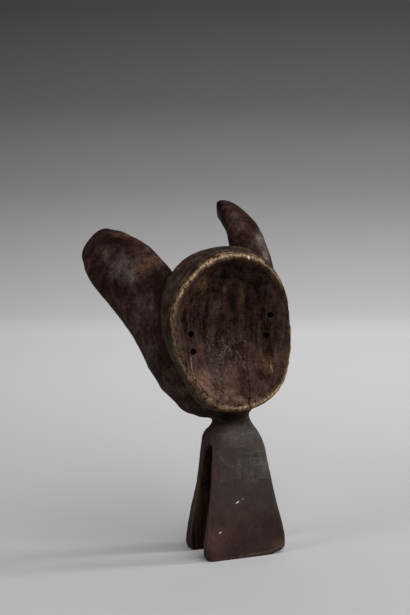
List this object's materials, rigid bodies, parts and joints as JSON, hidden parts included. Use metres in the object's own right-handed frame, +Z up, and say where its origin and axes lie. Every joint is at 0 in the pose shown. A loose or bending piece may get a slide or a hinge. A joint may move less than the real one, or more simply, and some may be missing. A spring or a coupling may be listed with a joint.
{
  "type": "crest mask",
  "caption": "Carved wooden crest mask: a hollow cap pierced by lacing holes, broad flattened horns swept back from it, and a long open muzzle whose jaws are its feet.",
  "frame": {"origin": "on the floor, on the sole of the front foot, midway between that foot's front and back edges", "axes": "+Z up; -Y the way the open cap and its rim face; +Y the way the horns sweep back; +X to the right as the open cap is faced"},
  "size_m": [0.2367, 0.2186, 0.4418],
  "materials": {
    "wood": "hand-carved hardwood with a dark worn patina, tan where the rim is rubbed bare"
  },
  "bodies": {
    "root": {"crest_mask": "wood"}
  },
  "joints": []
}
